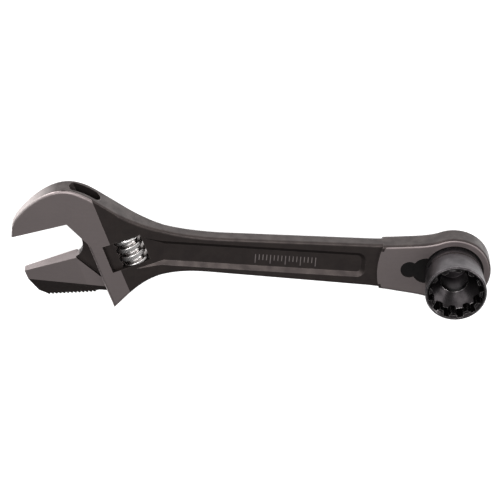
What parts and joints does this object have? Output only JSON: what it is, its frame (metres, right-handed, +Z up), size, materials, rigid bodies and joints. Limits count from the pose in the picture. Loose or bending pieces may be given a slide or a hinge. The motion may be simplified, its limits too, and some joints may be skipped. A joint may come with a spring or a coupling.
{
  "type": "adjustable wrench",
  "caption": "Adjustable wrench with a worm-driven reversible jaw, a sunk handle panel and a ratcheting twelve-spline socket at the handle's end.",
  "frame": {"origin": "bottom centre of the box round the whole tool as it lies flat, jaw at rest opening", "axes": "+X along the handle from the jaw head to the ratchet, +Y across the handle towards the fixed jaw's back, +Z up out of the face that the socket stands on"},
  "size_m": [0.2038, 0.0556, 0.0282],
  "materials": {
    "black_oxide": "satin black oxide over forged steel, milled flats lighter",
    "black_oxide_jaw": "satin black oxide, milled faces lighter",
    "bright_steel": "bright, knurled",
    "spring_steel": "bright wire",
    "black_plate": "matt black",
    "gear_steel": "oiled",
    "socket_black": "glossy black oxide",
    "lever_black": "satin black",
    "seal_rubber": "black"
  },
  "bodies": {
    "handle": {"wrench_body": "black_oxide", "worm_pin": "bright_steel", "worm_spring": "spring_steel", "cover_plate": "black_plate", "thrust_washer": "gear_steel", "pawl_pin": "gear_steel"},
    "jaw": {"movable_jaw": "black_oxide_jaw"},
    "worm": {"worm": "bright_steel"},
    "drive": {"ratchet_gear": "gear_steel", "socket": "socket_black", "snap_ring": "spring_steel"},
    "selector": {"selector_lever": "lever_black", "lever_o_ring": "seal_rubber", "detent_ball": "bright_steel", "detent_spring": "spring_steel"},
    "pawl": {"pawl": "gear_steel"}
  },
  "joints": [
    {"name": "jaw_slide", "type": "slide", "parent": "handle", "child": "jaw", "axis": [-0.3827, 0.9239, 0], "range_m": [-0.0108, 0.017]},
    {"name": "worm_spin", "type": "hinge", "parent": "handle", "child": "worm", "pos_m": [-0.05109, 0.00012, 0.0059], "axis": [-0.3827, 0.9239, 0], "range_deg": [-1600, 980]},
    {"name": "drive_spin", "type": "hinge", "parent": "handle", "child": "drive", "pos_m": [0.08602, -0.00013, 0.0059], "axis": [0, 0, 1], "continuous": true},
    {"name": "selector_turn", "type": "hinge", "parent": "handle", "child": "selector", "pos_m": [0.06722, -0.00013, 0.0059], "axis": [0, 0, 1], "range_deg": [0, 54]},
    {"name": "pawl_rock", "type": "hinge", "parent": "handle", "child": "pawl", "pos_m": [0.07102, -0.00013, 0.0059], "axis": [0, 0, 1], "range_deg": [-18, 0]}
  ],
  "couplings": [
    {"joint": "worm_spin", "follows": "jaw_slide", "rad_per_m": -1570.8},
    {"joint": "pawl_rock", "follows": "selector_turn", "ratio": -0.33333}
  ]
}
